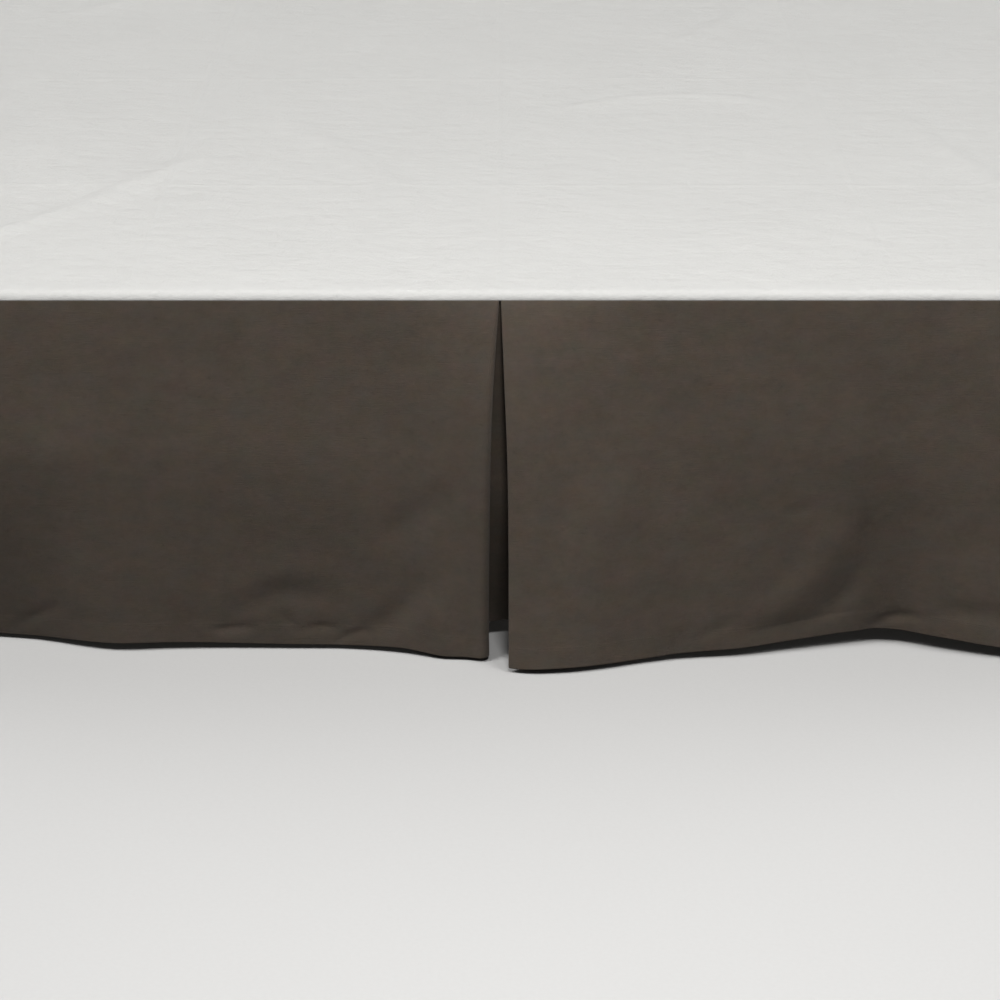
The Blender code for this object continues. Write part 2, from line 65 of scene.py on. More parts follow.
# The photograph's view: level across, looking down along +Y at the middle of the foot drop
VIEW_TARGET = Vector((0.0, BASE_LOW.y, 0.1657))
VIEW_DOWN = 20.0
VIEW_DISTANCE = 3.2
LENS = 116.74
SENSOR = 36.0

# The drops' layers at the top seam, from the base outwards: underlay, returns of the pleat, front
DROP_TOP = DECK_LOW.z - 0.3 * MM
PRESSED_FOLD = 0.0015
UNDERLAY_OUT = 0.0030
RETURN_OUT = UNDERLAY_OUT + 2 * PRESSED_FOLD
FRONT_OUT = RETURN_OUT + 2 * PRESSED_FOLD

# The pleat
PLEAT_DEPTH = 0.088
MOUTH_AT_SEAM = 0.0009
MOUTH_POWER = 2.8
INNER_FOLD_HEM_RADIUS = 0.0035
UNDERLAY_BEND = 0.045
FOLD_STEPS = 10
RETURN_STEPS = 16
UNDERLAY_STEPS = 36
CURL_REACH = 0.045
ROLL_POWER = 4.0
BULGE = 0.0085  # how far the panels stand out beside the pleat, a third of the way down
BULGE_REACH = 0.075
BULGE_PEAK = 4 / 27  # of down * (1 - down) ** 2

# How a swing of the hem is reached from the straight top seam
OUT_POWER = 0.75
IN_EASE = 0.28  # of the way down to the hem, over which an inward swing starts
FRONT_FREE_BELOW = 0.40
INSIDE_FREE_BELOW = 0.55
SWING_BLEND = 0.015
SEAM_REACH = 0.12
FOLD_SAMPLES = 17
HEADING_PASSES = 3
PLEAT_SPACING = 0.35  # of an even spacing, between the columns next to the pleat

# The cloth itself
CLOTH_MAP = "cloth"
CLOTH = 0.6 * MM
TURN_UP = 22 * MM  # the hem, folded up inside
TURN_UP_FOLD = 0.45 * MM
TURN_UP_STEPS = 4
SIDE_TURNING = 12 * MM
BAND_RELIEF = 0.22 * MM
STITCH_UP = 20 * MM
SEAM_ROLL = 1.5 * MM
# How far from the cloth's edges its wear and painted highlight reach
HIGHLIGHT_AND_WEAR_REACH = 1.6 * MM
SHARP = math.radians(60)

# A turn of a hem: its place along the drop, its height above the floor, and how far out it is
Hem = namedtuple("Hem", "along lift out")
# A soft fold. Its line runs through three points, each along and down. A trough has depth < 0.
Fold = namedtuple("Fold", "points width depth")
# A pleat, and each side of it (sign -1 is the left one): at the hem, how far from the middle its front
# fold is, how round that fold is, how far its panel curls in, and where its inner fold hangs
Pleat = namedtuple("Pleat", "left underlay right")
PleatSide = namedtuple("PleatSide", "sign open roll curl inner")
# A drop from end to end, with the number of columns in each panel and the spacing of its rows
Drop = namedtuple("Drop", "start end hem folds creases pleat panel_columns row_spacing")
# Irregular waves of the cloth: how long, how high, and which ones
Waves = namedtuple("Waves", "length height seed")


def hems(*rows):
    """The turns of a hem, from rows in millimetres."""
    return [Hem(*row) for row in np.array(rows) * MM]


def folds(*rows, y_unit=0.01):
    """Soft folds, from rows of x, y, x, y, x, y, width and depth: millimetres, and hundredths down."""
    rows = np.array(rows) * ([MM, y_unit] * 3 + [MM, MM])
    return [Fold(row[:6].reshape(3, 2), *row[6:]) for row in rows]


def pleat(left, right, inner_left, underlay, inner_right):
    """A pleat, from millimetres: each side's open, roll and curl, then what hangs inside, like a hem."""
    inner_left, underlay, inner_right = hems(inner_left, underlay, inner_right)
    left_side = PleatSide(-1, *np.multiply(left, MM), inner_left)
    right_side = PleatSide(1, *np.multiply(right, MM), inner_right)
    return Pleat(left_side, underlay, right_side)


FOOT_HEM = hems(
    (-770, 5, 18),
    (-690, 5, -1),
    (-620, 5.6, -26),
    (-540, 5.8, -46),
    (-478, 5.8, -39),
    (-384, 9.6, -7),
    (-330, 9.2, -11),
    (-220, 6.2, -13.5),
    (-140, 5.7, -10.5),
    (-96, 7, 0),
    (-55, 4.2, 17),
    (-30, 4, 25),
    (-12, 4.2, 34),
    (12, 5.2, 47.5),
    (62, 6.6, 50.5),
    (100, 6.6, 41),
    (140, 6.5, 26),
    (180, 8.2, 15.5),
    (243, 10.8, 8),
    (300, 14.5, -6.5),
    (350, 17.4, -18.5),
    (388, 18.2, -25.5),
    (440, 17.6, -5),
    (498, 14.3, 14),
    (560, 10, 22),
    (660, 6.2, 5),
    (770, 5, 18),
)
FOOT_FOLDS = folds(
    (386, 33, 373, 47, 356, 66, 18, -1.3),
    (360, 62, 357, 81, 318, 94, 14, -5.2),
    (335, 92.5, 300, 95, 240, 96.2, 11, -1.2),
    (326, 66, 314, 80, 264, 91.5, 18, 3.4),
    (446, 91.5, 474, 91.2, 506, 90.8, 12, -2.2),
    (70, 28, 70, 48, 60, 70, 20, -2.2),
    (140, 30, 130, 48, 110, 66, 22, 2.6),
    (-276, 96.5, -238, 85.5, -172, 85.5, 14, -2),
    (-262, 88, -220, 78.5, -160, 79, 16, 1),
    (-50, 52, -80, 60, -120, 68, 16, -2.2),
    (-75, 78, -100, 89, -140, 96, 14, -3),
    (-70, 83, -62, 92, -58, 100, 14, 2),
    (-280, 58, -266, 69, -272, 80, 22, -2.2),
    (-440, 17, -428, 28, -436, 38, 18, -2.2),
    (-600, 54, -590, 74, -530, 92, 28, -4.5),
    (610, 48, 610, 68, 660, 90, 28, -4),
)
FOOT_CREASES = folds(
    (245, 95.6, 300, 94.8, 356, 93.6, 3.5, -0.6),
    (370, 101, 393, 96.3, 426, 95.2, 6, -2.2),
    (172, 101, 176, 97.5, 186, 94, 8, -1),
    (282, 61, 297, 60, 312, 59.2, 7, -0.6),
    (192, 97.5, 215, 94, 240, 90.5, 6.5, -0.8),
    (462, 66, 480, 70, 492, 74, 8, -0.9),
    (20, 17.5, 45, 16.8, 74, 17.8, 4, 0.5),
    (-262, 13, -261, 19, -259, 26, 5, -1),
    (-492, 98.5, -468, 93.5, -442, 89.5, 6, -1.3),
    (-288, 96.2, -268, 95.6, -248, 95, 5, -1.8),
    (380, 22, 440, 12, 500, 4, 16, 0.8),
    (-220, 91, -208, 93.5, -202, 97, 5, -1.1),
    (-198, 95.8, -180, 94.6, -162, 95.6, 5, -1.3),
    (-166, 99.5, -150, 96.8, -130, 95.6, 5, -1.5),
)
FOOT_PLEAT = pleat(
    left=(11.2, 7.8, 10.5),
    right=(9.2, 1.8, 0),
    inner_left=(-81, 10, -26),
    underlay=(12, 19, -49),
    inner_right=(81, 10, -14),
)

LEFT_HEM = hems(
    (-1016, 4, 12),
    (-860, 4.5, -4),
    (-700, 5.5, -26),
    (-540, 6, -16),
    (-390, 5, 6),
    (-230, 4.8, -12),
    (-110, 4, 6),
    (-12, 3, 18),
    (12, 3, 30),
    (110, 4, 22),
    (240, 5.2, -4),
    (400, 7, -28),
    (560, 6.2, -8),
    (720, 5, 14),
    (880, 5, -4),
    (1024, 4, 18),
)
LEFT_FOLDS = folds(
    (-740, 46, -720, 70, -640, 92, 30, -4.5),
    (-310, 42, -290, 66, -240, 90, 26, -3.2),
    (-140, 34, -130, 52, -120, 72, 24, 2.4),
    (340, 46, 380, 70, 460, 92, 30, -5),
    (520, 52, 530, 70, 580, 88, 24, 2.6),
    (840, 45, 870, 72, 880, 94, 28, -3.6),
)
LEFT_CREASES = folds(
    (-600, 94, -550, 91, -500, 92, 6, -0.9),
    (440, 93, 490, 91, 530, 94, 6, -0.9),
)
LEFT_PLEAT = pleat(
    left=(8.5, 4, 2),
    right=(9.5, 2.5, 0),
    inner_left=(-83, 7, -20),
    underlay=(-6, 11, -34),
    inner_right=(83, 7, -14),
)

RIGHT_HEM = hems(
    (-1024, 4, 18),
    (-890, 4.5, 0),
    (-740, 5.8, -22),
    (-580, 6.2, -30),
    (-430, 5, -6),
    (-290, 4.5, 10),
    (-130, 4, 2),
    (-12, 3, 14),
    (12, 3, 34),
    (80, 3.8, 34),
    (200, 5, 6),
    (350, 6.2, -20),
    (500, 6.2, -24),
    (660, 4.8, 4),
    (830, 5.2, -10),
    (1016, 4, 12),
)
RIGHT_FOLDS = folds(
    (-660, 47, -640, 68, -560, 92, 30, -5),
    (-500, 50, -490, 68, -450, 86, 24, 2.6),
    (-200, 62, -190, 78, -150, 92, 22, -3),
    (150, 32, 140, 50, 120, 70, 24, 2.4),
    (380, 48, 410, 72, 490, 92, 30, -4.8),
    (800, 44, 830, 70, 840, 92, 28, -3.6),
)
RIGHT_CREASES = folds(
    (-600, 93, -550, 91, -500, 93, 6, -0.9),
    (440, 93, 490, 91, 540, 92, 6, -0.9),
)
RIGHT_PLEAT = pleat(
    left=(10, 4.5, 3),
    right=(8, 2, 0),
    inner_left=(-83, 7, -20),
    underlay=(8, 11.5, -36),
    inner_right=(83, 7, -14),
)

DROP_WAVES = [Waves(0.120, 0.0007, 11), Waves(0.042, 0.00016, 23)]
PUCKER = Waves(0.017, 0.0005, 37)
PUCKER_REACH = 9 * MM


# Helpers for meshes and pieces

def mesh_from(name, shape):
    mesh = bpy.data.meshes.new(name)
    shape.to_mesh(mesh)
    shape.free()
    return mesh


def add_object(name, data, place=None, aim=None):
    """Adds an object to the scene. One with a place stands there, with its -Z towards the aim."""
    obj = bpy.data.objects.new(name, data)
    if place is not None:
        obj.location = place
        obj.rotation_euler = (aim - place).to_track_quat("-Z", "Y").to_euler()
    bpy.context.scene.collection.objects.link(obj)
    return obj


def new_piece(name, mesh, material, replaced=()):
    """A piece that rides with the whole object, with its finish and the solids that it stands for."""
    piece = add_object(name, mesh)
    mesh.materials.clear()
    mesh.materials.append(material)
    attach(piece, "root")
    if replaced:
        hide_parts(*replaced)
    return piece


def shade(mesh, sharp=SHARP):
    mesh.shade_smooth()
    mesh.set_sharp_from_angle(angle=sharp)


def grid_mesh(name, points, flat, highlight_and_wear=None):
    """A grid of quads through rows of points, with their places on the flat cloth as its map."""
    rows, columns = points.shape[:2]
    shape = bmesh.new()
    bmesh.ops.create_grid(shape, x_segments=columns - 1, y_segments=rows - 1, size=1.0)
    mesh = mesh_from(name, shape)
    mesh.vertices.foreach_set("co", points.astype(np.float32).ravel())
    corners = np.empty(len(mesh.loops), np.int32)
    mesh.loops.foreach_get("vertex_index", corners)
    cloth_map = mesh.uv_layers.new(name=CLOTH_MAP)
    cloth_map.uv.foreach_set("vector", flat.reshape(-1, 2)[corners].astype(np.float32).ravel())
    # A layer of wear and painted highlight along the cloth's edges, which lightens its colour
    highlight_and_wear_layer = mesh.attributes.new("highlight_and_wear", "FLOAT", "POINT")
    if highlight_and_wear is not None:
        highlight_and_wear_layer.data.foreach_set("value", highlight_and_wear.astype(np.float32).ravel())
    return mesh


def thicken(piece, thickness):
    """Makes a sheet a closed thin solid, as a finished mesh, with only its cut edges sharp."""
    shell = piece.modifiers.new("Thickness", "SOLIDIFY")
    shell.thickness = thickness
    shell.offset = 0.0
    shell.use_even_offset = False
    graph = bpy.context.evaluated_depsgraph_get()
    solid = bpy.data.meshes.new_from_object(
        piece.evaluated_get(graph), preserve_all_data_layers=True, depsgraph=graph
    )
    piece.modifiers.clear()
    sheet = piece.data
    piece.data = solid
    solid.name = piece.name
    bpy.data.meshes.remove(sheet)
    shade(solid)


def grid_normals(points):
    across = np.gradient(points, axis=1)
    up = np.gradient(points, axis=0)
    normals = np.cross(across, up)
    return normals / np.linalg.norm(normals, axis=2, keepdims=True)


def waves_at(waves, flat):
    """The height of irregular waves at places on the flat cloth."""
    places = flat.reshape(-1, 2) / waves.length
    found = [noise.noise(Vector((x, y, waves.seed))) for x, y in places]
    return waves.height * np.array(found).reshape(flat.shape[:-1])


# The shape of a drop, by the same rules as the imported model's, on a finer grid

def smooth_through(stations, values, at):
    """A smooth curve through the values at the stations."""
    stations = np.array(stations)
    values = np.array(values)
    slopes = np.gradient(values, stations)
    i = np.clip(np.searchsorted(stations, at) - 1, 0, len(stations) - 2)
    step = stations[i + 1] - stations[i]
    t = np.clip((at - stations[i]) / step, 0.0, 1.0)
    rise = values[i] + (values[i + 1] - values[i]) * t * t * (3 - 2 * t)
    return rise + step * t * (1 - t) * (slopes[i] * (1 - t) - slopes[i + 1] * t)


def smooth_step(x):
    x = np.clip(x, 0.0, 1.0)
    return x * x * (3 - 2 * x)


def hem_at(hem, column, along):
    stations = [row.along for row in hem]
    return smooth_through(stations, [getattr(row, column) for row in hem], along)


def free_share(down, free_below):
    """How much of an inward swing is reached at this height, from 0 beside the base to 1 at the hem."""
    t = np.clip((down - free_below) / (1 - free_below), 0.0, 1.0)
    return t * t * (1 + IN_EASE) / (t + IN_EASE)


def relief_of(folds, x, y, y_size=1.0):
    """How far soft folds lift a surface at these places. Each fold fades away at its ends."""
    place = np.stack(np.broadcast_arrays(x, np.asarray(y) * y_size), axis=-1)[..., None, :]
    relief = np.zeros(place.shape[:-2])
    t = np.linspace(0.0, 1.0, FOLD_SAMPLES)[:, None]
    for fold in folds:
        start, middle, end = fold.points * (1.0, y_size)
        line = (1 - t) * (1 - 2 * t) * start + 4 * t * (1 - t) * middle + t * (2 * t - 1) * end
        run = line[1:] - line[:-1]
        share = np.clip(((place - line[:-1]) * run).sum(axis=-1) / (run**2).sum(axis=-1), 0.0, 1.0)
        nearest = line[:-1] + share[..., None] * run
        apart = ((place - nearest) ** 2).sum(axis=-1) / fold.width**2
        travelled = (np.arange(FOLD_SAMPLES - 1) + share) / (FOLD_SAMPLES - 1)
        fading = 1 - (2 * travelled - 1) ** 4
        relief += fold.depth * (fading * np.exp(-apart)).max(axis=-1)
    return relief


def fold_relief(folds, along, down):
    """How far the soft folds move the cloth of a drop out, less and less towards its top seam."""
    return relief_of(folds, along, down, DROP_TOP) * smooth_step(down / SEAM_REACH)


def front_out(drop, along, down):
    """How far out the front of the drop stands, at places along it and one height."""
    along = np.asarray(along, dtype=float)
    swing = hem_at(drop.hem, "out", along) - FRONT_OUT
    swing_out = SWING_BLEND * np.logaddexp(0.0, swing / SWING_BLEND)
    swing_in = swing_out - swing
    front = FRONT_OUT + swing_out * down**OUT_POWER - swing_in * free_share(down, FRONT_FREE_BELOW)
    bulge = BULGE / BULGE_PEAK * down * (1 - down) ** 2 * np.exp(-((along / BULGE_REACH) ** 2))
    return front + bulge + fold_relief(drop.folds, along, down)


# The pleat, as one path round five rounds: left front fold, left inner fold, underlay, right inner fold,
# right front fold. A round's turn is 1 where the path bends towards "out", and -1 where it bends back.

Round = namedtuple("Round", "along out radius turn")


def between(at_seam, at_hem, share):
    return at_seam + (at_hem - at_seam) * share


def panel_out(drop, side, along, edge, down):
    """How far out a panel stands, where it may curl in towards its edge at the pleat."""
    curl = side.curl * down * np.exp(-(((edge - along) / CURL_REACH) ** 2))
    return front_out(drop, along, down) - curl


def front_fold(drop, side, down):
    """The round at which a panel turns into the pleat, where the panel meets it, at what heading, and
    the edge that shows."""
    radius = between(PRESSED_FOLD, side.roll, 1 - (1 - down) ** ROLL_POWER)
    edge = side.sign * between(MOUTH_AT_SEAM, side.open, 1 - (1 - down) ** MOUTH_POWER)
    heading = 0.0
    for _ in range(HEADING_PASSES):
        along = edge + radius * (side.sign - math.sin(heading))
        places = np.array([along, along + side.sign * MM])
        out = panel_out(drop, side, places, edge, down)
        heading = math.atan((out[1] - out[0]) / (places[1] - places[0]))
    centre = (along + radius * math.sin(heading), out[0] - radius * math.cos(heading))
    return Round(*centre, radius, turn=-1), along, heading, edge


def inner_fold(side, down):
    share = free_share(down, INSIDE_FREE_BELOW)
    radius = between(PRESSED_FOLD, INNER_FOLD_HEM_RADIUS, share)
    along = between(side.sign * PLEAT_DEPTH, side.inner.along, share) - side.sign * radius
    out = between(UNDERLAY_OUT + PRESSED_FOLD, side.inner.out, share)
    return Round(along, out, radius, turn=1)


def underlay_round(at_hem, down):
    lowest = between(UNDERLAY_OUT, at_hem.out, free_share(down, INSIDE_FREE_BELOW))
    return Round(at_hem.along, lowest + UNDERLAY_BEND, UNDERLAY_BEND, turn=1)


def heading_between(first, second):
    """The heading of the straight run that leaves one round and meets the next."""
    along = second.along - first.along
    out = second.out - first.out
    sideways = second.turn * second.radius - first.turn * first.radius
    return math.atan2(out, along) - math.asin(sideways / math.hypot(along, out))


def round_points(bend, start, end, steps):
    """Points on a round from one heading of the path to another."""
    headings = np.linspace(start, end, steps + 1)
    along = bend.along + bend.turn * bend.radius * np.sin(headings)
    out = bend.out - bend.turn * bend.radius * np.cos(headings)
    return np.column_stack([along, out])


def turned(bend, start, end):
    """The end heading, counted on from the start in the round's direction. The underlay's may not turn."""
    if bend.radius == UNDERLAY_BEND:
        return start + max(0.0, math.remainder(end - start, 2 * math.pi))
    return start + bend.turn * ((bend.turn * (end - start)) % (2 * math.pi))


def lengths_along(points):
    return np.r_[0.0, np.cumsum(np.linalg.norm(np.diff(points, axis=0), axis=1))]


def spaced_path(points, steps):
    """The same path with evenly spaced points."""
    lengths = lengths_along(points)
    at = np.linspace(0.0, lengths[-1], steps + 1)
    return np.column_stack([np.interp(at, lengths, points[:, k]) for k in (0, 1)])


def panel_shares(columns):
    """From 0 at a drop's end to 1 at its pleat, closer together towards the pleat."""
    t = np.linspace(0.0, 1.0, columns + 1)
    return t + (1 - PLEAT_SPACING) * t * (1 - t)


def side_section(drop, side, end, down):
    """A side's panel from the drop's end to the pleat, its front fold and heading, its inner fold."""
    fold, meets, heading, edge = front_fold(drop, side, down)
    along = between(end, meets, panel_shares(drop.panel_columns))
    panel = np.column_stack([along, panel_out(drop, side, along, edge, down)])
    return panel, fold, heading, inner_fold(side, down)


def drop_section(drop, down):
    """The drop's cloth at one height, from left to right, as runs of points that share their ends."""
    left, underlay, right = drop.pleat
    left_panel, left_fold, heading, left_inner = side_section(drop, left, drop.start, down)
    right_panel, right_fold, last_heading, right_inner = side_section(drop, right, drop.end, down)
    rounds = [left_fold, left_inner, underlay_round(underlay, down), right_inner, right_fold]
    headings = [heading_between(*pair) for pair in zip(rounds, rounds[1:])] + [last_heading]
    bends = []
    for bend, end in zip(rounds, headings):
        start, heading = heading, turned(bend, heading, end)
        steps = UNDERLAY_STEPS if bend.radius == UNDERLAY_BEND else FOLD_STEPS
        bends.append(round_points(bend, start, heading, steps))
    left_turn, left_back, hollow, right_back, right_turn = bends
    left_return = spaced_path(np.vstack([left_turn[-1:], left_back[:1]]), RETURN_STEPS)
    behind = spaced_path(np.vstack([left_back[-1:], hollow, right_back[:1]]), UNDERLAY_STEPS)
    right_return = spaced_path(np.vstack([right_back[-1:], right_turn[:1]]), RETURN_STEPS)
    inside = [left_turn, left_return, left_back, behind, right_back, right_return, right_turn]
    return [left_panel, *inside, right_panel[::-1]]


def joined(runs):
    return np.vstack([run[:-1] for run in runs[:-1]] + [runs[-1]])


def hem_lifts(drop):
    """How high the hem is above the floor at each column of the section."""
    runs = drop_section(drop, 1.0)
    inside = joined(runs[1:-1])
    lengths = lengths_along(inside)
    left_lifts = hem_at(drop.hem, "lift", runs[0][:, 0])
    right_lifts = hem_at(drop.hem, "lift", runs[-1][:, 0])
    last = len(inside) - 1
    turns = FOLD_STEPS + RETURN_STEPS + FOLD_STEPS // 2
    knots = lengths[[0, turns, last // 2, last - turns, last]]
    left, underlay, right = drop.pleat
    inner_lifts = [left.inner.lift, underlay.lift, right.inner.lift]
    inside_lifts = np.interp(lengths, knots, [left_lifts[-1], *inner_lifts, right_lifts[0]])
    return np.r_[left_lifts[:-1], inside_lifts, right_lifts[1:]]


# The cloth of a drop

def row_heights(spacing):
    """How high the rows are above the hem: closer at its fold, at its sewn edge and at the seam."""
    low = np.array([0, 1, 2.5, 5, 8, 11, 14, 17, 19, 20.2, 21.2, 22.2, 23.4, 25.5, 28]) * MM
    high = DROP_TOP - np.array([6, 4.5, 3.2, 2.2, SEAM_ROLL / MM, 1, 0.6, 0.25, 0]) * MM
    first, last = low[-1] + spacing, high[0] - spacing
    steps = round((last - first) / spacing)
    return np.r_[low, np.linspace(first, last, steps + 1), high]


def drop_rows(drop):
    """The drop's points and flat places, row by row from the hem up to the seam, and the columns of its
    front folds."""
    lifts = hem_lifts(drop) + TURN_UP_FOLD + CLOTH / 2
    heights = row_heights(drop.row_spacing)
    points = []
    for height in heights:
        down = 1 - height / DROP_TOP
        section = joined(drop_section(drop, down))
        points.append(np.column_stack([section[:, 0], -section[:, 1], between(DROP_TOP, lifts, down)]))
    points = np.array(points)
    middle_row = points[len(heights) // 2, :, :2]
    across = lengths_along(middle_row)
    left_fold = drop.panel_columns + FOLD_STEPS // 2
    right_fold = len(across) - 1 - left_fold
    across -= (across[left_fold] + across[right_fold]) / 2
    flat = np.stack(np.broadcast_arrays(across, heights[:, None]), axis=-1)
    return points, flat, (left_fold, right_fold)


def drop_relief(drop, points, flat, fold_columns):
    """How far the small shapes lift the cloth off the drop's large shape: waves, creases, the turned-up
    hem with its puckers, and the roll into the top seam."""
    across, height = flat[..., 0], flat[..., 1]
    relief = sum(waves_at(waves, flat) for waves in DROP_WAVES)
    relief *= smooth_step((DROP_TOP - height) / (SEAM_REACH * DROP_TOP))
    column = np.arange(across.shape[1])
    in_front = (column < fold_columns[0]) | (column > fold_columns[1])
    relief += in_front * fold_relief(drop.creases, points[..., 0], 1 - height / DROP_TOP)

    pucker = waves_at(PUCKER, flat * (1, 0)) - PUCKER.height / 2
    relief += pucker * np.exp(-(((height - STITCH_UP) / PUCKER_REACH) ** 2))
    band = 1 - smooth_step((height - STITCH_UP) / (TURN_UP - STITCH_UP + MM))
    ends = np.minimum(across - across[:, :1], across[:, -1:] - across)
    side = 1 - smooth_step((ends - SIDE_TURNING + MM) / (2 * MM))
    relief += BAND_RELIEF * np.maximum(band, side)

    below_seam = np.clip(DROP_TOP - height, 0.0, SEAM_ROLL)
    roll = SEAM_ROLL - np.sqrt(SEAM_ROLL**2 - (SEAM_ROLL - below_seam) ** 2)
    outward = np.clip(-grid_normals(points)[..., 1], 0.0, 1.0)
    return relief - roll * outward**2


def with_turn_up(points, flat):
    """Adds the hem's fold and the part of it that is turned up inside, below the rows."""
    normals = grid_normals(points)
    turned_rows = np.flatnonzero(flat[:, 0, 1] <= TURN_UP + MM)[::-1]
    inner = points[turned_rows] - 2 * TURN_UP_FOLD * normals[turned_rows]
    angles = np.linspace(math.pi, 0.0, TURN_UP_STEPS + 1)[1:-1, None, None]
    down = np.array([0.0, 0.0, -1.0])
    fold = points[0] + TURN_UP_FOLD * ((np.cos(angles) - 1) * normals[0] + np.sin(angles) * down)
    flat_inner = flat[turned_rows] * (1, -1) - (0, math.pi * TURN_UP_FOLD)
    flat_fold = flat[0] - TURN_UP_FOLD * angles * (0, 1)
    return np.concatenate([inner, fold, points]), np.concatenate([flat_inner, flat_fold, flat])


def edge_highlight_and_wear(flat, fold_columns):
    """How much the cloth is lightened, as wear and as a painted highlight on its pressed edges: fully
    along its front folds, its hem and its ends.
    """
    across, height = flat[..., 0], flat[..., 1]
    edges = [np.abs(across - across[:, [column]]) for column in fold_columns]
    edges += [np.abs(height), across - across[:, :1], across[:, -1:] - across]
    return np.exp(-((np.minimum.reduce(edges) / HIGHLIGHT_AND_WEAR_REACH) ** 2))


def build_drop(side, drop, place, turn, material):
    name = f"skirt_{side}_cloth"
    points, flat, fold_columns = drop_rows(drop)
    normals = grid_normals(points)
    points = points + normals * drop_relief(drop, points, flat, fold_columns)[..., None]
    points, flat = with_turn_up(points, flat)
    mesh = grid_mesh(name, points, flat, edge_highlight_and_wear(flat, fold_columns))
    mesh.transform(Matrix.Translation(place) @ Matrix.Rotation(turn, 4, "Z"))
    piece = new_piece(name, mesh, material, [f"skirt_{side}_drop"])
    thicken(piece, CLOTH)


def build_drops(material):
    foot_end, head_end = -LEFT_LOW.y, BASE_HIGH.y
    foot_look = FOOT_HEM, FOOT_FOLDS, FOOT_CREASES, FOOT_PLEAT
    left_look = LEFT_HEM, LEFT_FOLDS, LEFT_CREASES, LEFT_PLEAT
    right_look = RIGHT_HEM, RIGHT_FOLDS, RIGHT_CREASES, RIGHT_PLEAT
    foot = Drop(FOOT_LOW.x, FOOT_HIGH.x, *foot_look, panel_columns=154, row_spacing=4.2 * MM)
    left = Drop(-head_end, foot_end, *left_look, panel_columns=190, row_spacing=5.4 * MM)
    right = Drop(-foot_end, head_end, *right_look, panel_columns=190, row_spacing=5.4 * MM)
    build_drop("foot", foot, (0, BASE_LOW.y, 0), 0.0, material)
    build_drop("left", left, (BASE_LOW.x, 0, 0), -QUARTER, material)
    build_drop("right", right, (BASE_HIGH.x, 0, 0), QUARTER, material)


# The deck, the white cloth that lies on the box spring and turns down over its edges

DECK_CLOTH = 0.5 * MM
DECK_REST = 0.9 * MM  # the cloth's middle above the box spring
DECK_EDGE = 7.7 * MM
DECK_STEP = 10 * MM
DECK_HEM = 12 * MM
DECK_CALM = 50 * MM  # how far in from its edges the relief is full
PRESS_WIDTH = 5 * MM
PRESS_HEIGHT = 0.8 * MM
PRESS_FALL = 1.5
PRESS_CLEAR = 2.4  # widths beside a pressed line without even stations
PRESSED_ACROSS = (-0.62, -0.10, 0.44)  # lines left from the folded pack, by their place along the bed
PRESSED_ALONG = (-0.36, 0.0, 0.38)
DECK_WAVES = [Waves(0.30, 0.0034, 5), Waves(0.11, 0.0013, 17), Waves(0.045, 0.0004, 31)]
# Soft ridges where the cloth isn't quite smoothed out
DECK_RIDGES = folds(
    (-640, -940, -450, -720, -300, -400, 14, 4.2),
    (680, -900, 540, -620, 470, -260, 15, 4.4),
    (-80, -840, -140, -550, -280, -280, 18, 3),
    (180, 60, 330, 320, 380, 660, 16, 3.8),
    (-620, 260, -460, 480, -400, 840, 15, 4),
    (60, -280, 200, -200, 340, -240, 13, 3),
    y_unit=MM,
)


def deck_stations(low, high, pressed, edges):
    """Places across the deck: even, closer at pressed lines, and on round its turned-down edges."""
    even = np.linspace(low, high, round((high - low) / DECK_STEP) + 1)
    clear = np.abs(even[:, None] - pressed).min(axis=1) > PRESS_CLEAR * PRESS_WIDTH
    close = np.array([-1.8, -1.1, -0.55, 0, 0.55, 1.1, 1.8]) * PRESS_WIDTH
    inside = np.sort(np.concatenate([even[clear], *(line + close for line in pressed)]))
    arc = np.linspace(0.0, DECK_EDGE * QUARTER, 7)[1:]
    turned_down = np.r_[arc, arc[-1] + np.array([0.25, 0.6, 1]) * SEAM_ROLL * QUARTER]
    before = low - turned_down[::-1] if edges[0] else []
    after = high + turned_down if edges[1] else []
    return np.concatenate([before, inside, after])


def edge_profile(distance):
    """How far sideways and down the deck is, this far round its edge: a quarter, then the seam."""
    first = np.minimum(distance, DECK_EDGE * QUARTER) / DECK_EDGE
    second = np.maximum(distance - DECK_EDGE * QUARTER, 0.0) / SEAM_ROLL
    sideways = DECK_EDGE * np.sin(first) - SEAM_ROLL * (1 - np.cos(second))
    drop = DECK_EDGE * (1 - np.cos(first)) + SEAM_ROLL * np.sin(second)
    return sideways, drop


def deck_relief(flat, inset):
    """How far the deck stands off the box spring."""
    x, y = flat[..., 0], flat[..., 1]
    waves = sum(waves_at(waves, flat) for waves in DECK_WAVES)
    relief = np.maximum(waves, 0.0) + relief_of(DECK_RIDGES, x, y)
    for places, lines in ((x, PRESSED_ALONG), (y, PRESSED_ACROSS)):
        for line in lines:
            relief += PRESS_HEIGHT * np.exp(-np.abs(places - line) / PRESS_WIDTH * PRESS_FALL)
    return relief * smooth_step(inset / DECK_CALM)


